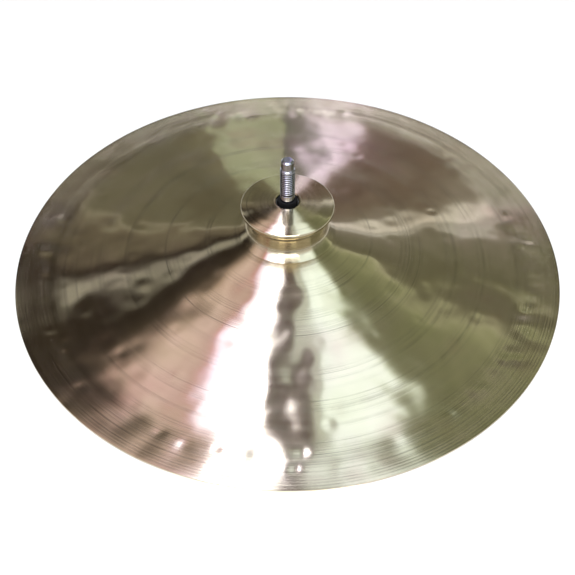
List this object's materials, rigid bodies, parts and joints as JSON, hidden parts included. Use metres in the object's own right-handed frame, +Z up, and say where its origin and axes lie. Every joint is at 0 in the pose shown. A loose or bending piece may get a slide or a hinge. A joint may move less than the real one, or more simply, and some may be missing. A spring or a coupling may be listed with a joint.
{
  "type": "china cymbal on tilter",
  "caption": "China-type cymbal with mushroom bell and turned-up edge, hanging on a sleeved threaded rod above a clamped tilter.",
  "frame": {"origin": "on the stand tube's axis at the lower face of the fork, where the stand's clamp stops", "axes": "+Z up along the threaded rod; +Y along the pivot bolt, towards the wing nut; +X completes the right-handed set"},
  "size_m": [0.3048, 0.3048, 0.1867],
  "materials": {
    "bronze": "lathed, hammered and buffed B20 bronze, clear",
    "rod_steel": "nickel-plated rolled thread",
    "sleeve_nylon": "black nylon",
    "felt": "dense pressed wool felt, charcoal",
    "washer_steel": "bright plated steel",
    "plated_hardware": "bright zinc plate",
    "head_casting": "chrome-plated zinc casting",
    "black_screw": "black oxide steel",
    "friction_fibre": "red vulcanised fibre",
    "fork_casting": "chrome-plated zinc casting",
    "wing_casting": "chrome-plated zinc casting",
    "tube_chrome": "chrome-plated drawn steel tube",
    "plug_plastic": "black moulded plastic",
    "pin_steel": "spring steel, dark"
  },
  "bodies": {
    "fork": {"stand_tube": "tube_chrome", "tube_plug": "plug_plastic", "tube_roll_pin": "pin_steel", "tilter_fork": "fork_casting", "friction_discs": "friction_fibre", "pivot_bolt": "plated_hardware"},
    "head": {"tilter_head": "head_casting", "rod_grub_screw": "black_screw", "threaded_rod": "rod_steel", "rod_jam_nut": "plated_hardware", "rod_sleeve": "sleeve_nylon"},
    "clamp_washer": {"wing_nut_washer": "washer_steel"},
    "wing_nut": {"tilter_wing_nut": "wing_casting"},
    "washer": {"cup_washer": "washer_steel"},
    "felt": {"lower_felt": "felt"},
    "cymbal": {"cymbal": "bronze"}
  },
  "joints": [
    {"name": "tilter_tilt", "type": "hinge", "parent": "fork", "child": "head", "pos_m": [0, 0, 0.038], "axis": [0, 1, 0], "range_deg": [-75, 75]},
    {"name": "clamp_travel", "type": "slide", "parent": "fork", "child": "clamp_washer", "axis": [0, 1, 0], "range_m": [0, 0.0028]},
    {"name": "wing_turn", "type": "hinge", "parent": "clamp_washer", "child": "wing_nut", "pos_m": [0, 0, 0.038], "axis": [0, -1, 0], "range_deg": [0, 1010]},
    {"name": "stack_lift", "type": "slide", "parent": "head", "child": "washer", "axis": [0, 0, 1], "range_m": [0, 0.037]},
    {"name": "cymbal_spin", "type": "hinge", "parent": "washer", "child": "felt", "pos_m": [0, 0, 0.08905], "axis": [0, 0, 1], "continuous": true},
    {"name": "cymbal_rock", "type": "hinge", "parent": "felt", "child": "cymbal", "pos_m": [0, 0, 0.08905], "axis": [1, 0, 0], "range_deg": [-12, 12], "deforming": ["lower_felt"]}
  ],
  "couplings": [
    {"joint": "wing_turn", "follows": "clamp_travel", "rad_per_m": 6283.2}
  ]
}
